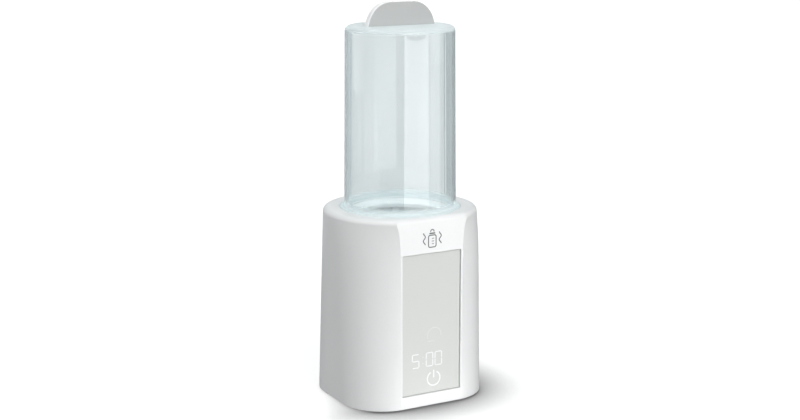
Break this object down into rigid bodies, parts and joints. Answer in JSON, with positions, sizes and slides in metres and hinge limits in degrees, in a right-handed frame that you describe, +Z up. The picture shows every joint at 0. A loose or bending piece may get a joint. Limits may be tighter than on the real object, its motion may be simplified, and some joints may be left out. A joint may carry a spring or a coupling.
{
  "type": "bottle warmer",
  "caption": "Countertop baby bottle warmer: white base with a touch display on a flat facet, heated water well with lift-out basket, and a clear lift-off cover with a grip fin.",
  "frame": {"origin": "on the well's vertical axis, in the plane of the rubber foot ring that stands on the table", "axes": "+Z up along the well's axis, the flat display facet faces -Y, +X to the viewer's right when facing the display"},
  "size_m": [0.181, 0.2407, 0.319],
  "materials": {
    "housing_white": "moulded gloss white",
    "cover_clear": "clear, pale aqua tint",
    "grip_grey": "satin light grey",
    "panel_grey": "back-printed grey display lens",
    "tape_black": "foam adhesive tape",
    "board_green": "solder-masked laminate",
    "component_black": "moulded component body",
    "relay_blue": "moulded relay case",
    "film_yellow": "film capacitor case",
    "socket_ivory": "nylon connector",
    "screw_steel": "zinc-plated",
    "spring_steel": "bright wire",
    "liner_white": "satin white well liner",
    "seal_silicone": "translucent silicone",
    "well_steel": "brushed stainless",
    "block_aluminium": "cast",
    "element_steel": "heat-tinted tube",
    "thermostat_black": "phenolic body",
    "probe_brass": "turned",
    "basket_white": "satin white moulding",
    "cord_white": "flexible sheath",
    "plug_white": "moulded plug",
    "pin_nickel": "nickel-plated brass",
    "lead_red": "silicone insulation",
    "lead_grey": "insulated wire",
    "ribbon_grey": "flat ribbon",
    "foot_grey": "soft non-slip ring",
    "fixing_plastic": "plain moulding"
  },
  "bodies": {
    "base": {"base_shell": "housing_white", "bottom_cover": "fixing_plastic", "foot_ring": "foot_grey", "bottom_screws": "screw_steel", "display_panel": "panel_grey", "panel_tape": "tape_black", "display_board": "board_green", "display_board_screws": "screw_steel", "digit_module": "component_black", "touch_springs": "spring_steel", "well_liner": "liner_white", "well_screws": "screw_steel", "well_seal": "seal_silicone", "plate_gasket": "seal_silicone", "heating_plate": "well_steel", "heater_clamp": "well_steel", "heater_screws": "screw_steel", "heater_block": "block_aluminium", "heating_element": "element_steel", "thermostat": "thermostat_black", "thermostat_screws": "screw_steel", "thermal_fuse": "well_steel", "fuse_clip": "spring_steel", "temperature_probe": "probe_brass", "main_board": "board_green", "main_board_screws": "screw_steel", "relay": "relay_blue", "transformer": "component_black", "film_capacitor": "film_yellow", "smoothing_capacitor": "component_black", "terminal_block": "fixing_plastic", "ribbon_sockets": "socket_ivory", "ribbon_cable": "ribbon_grey", "mains_leads": "lead_grey", "heater_leads": "lead_red", "probe_lead": "lead_grey", "cord_clamp": "fixing_plastic", "cord_clamp_screws": "screw_steel", "strain_relief": "cord_white", "power_cord": "cord_white", "plug_body": "plug_white", "plug_pins": "pin_nickel"},
    "cover": {"cover_tube": "cover_clear", "cover_grip": "grip_grey", "grip_washers": "seal_silicone", "grip_screws": "screw_steel"},
    "basket": {"bottle_basket": "basket_white"}
  },
  "joints": [
    {"name": "cover_lift", "type": "slide", "parent": "base", "child": "cover", "axis": [0, 0, 1], "range_m": [0, 0.2]},
    {"name": "basket_lift", "type": "slide", "parent": "base", "child": "basket", "axis": [0, 0, 1], "range_m": [0, 0.07]}
  ]
}
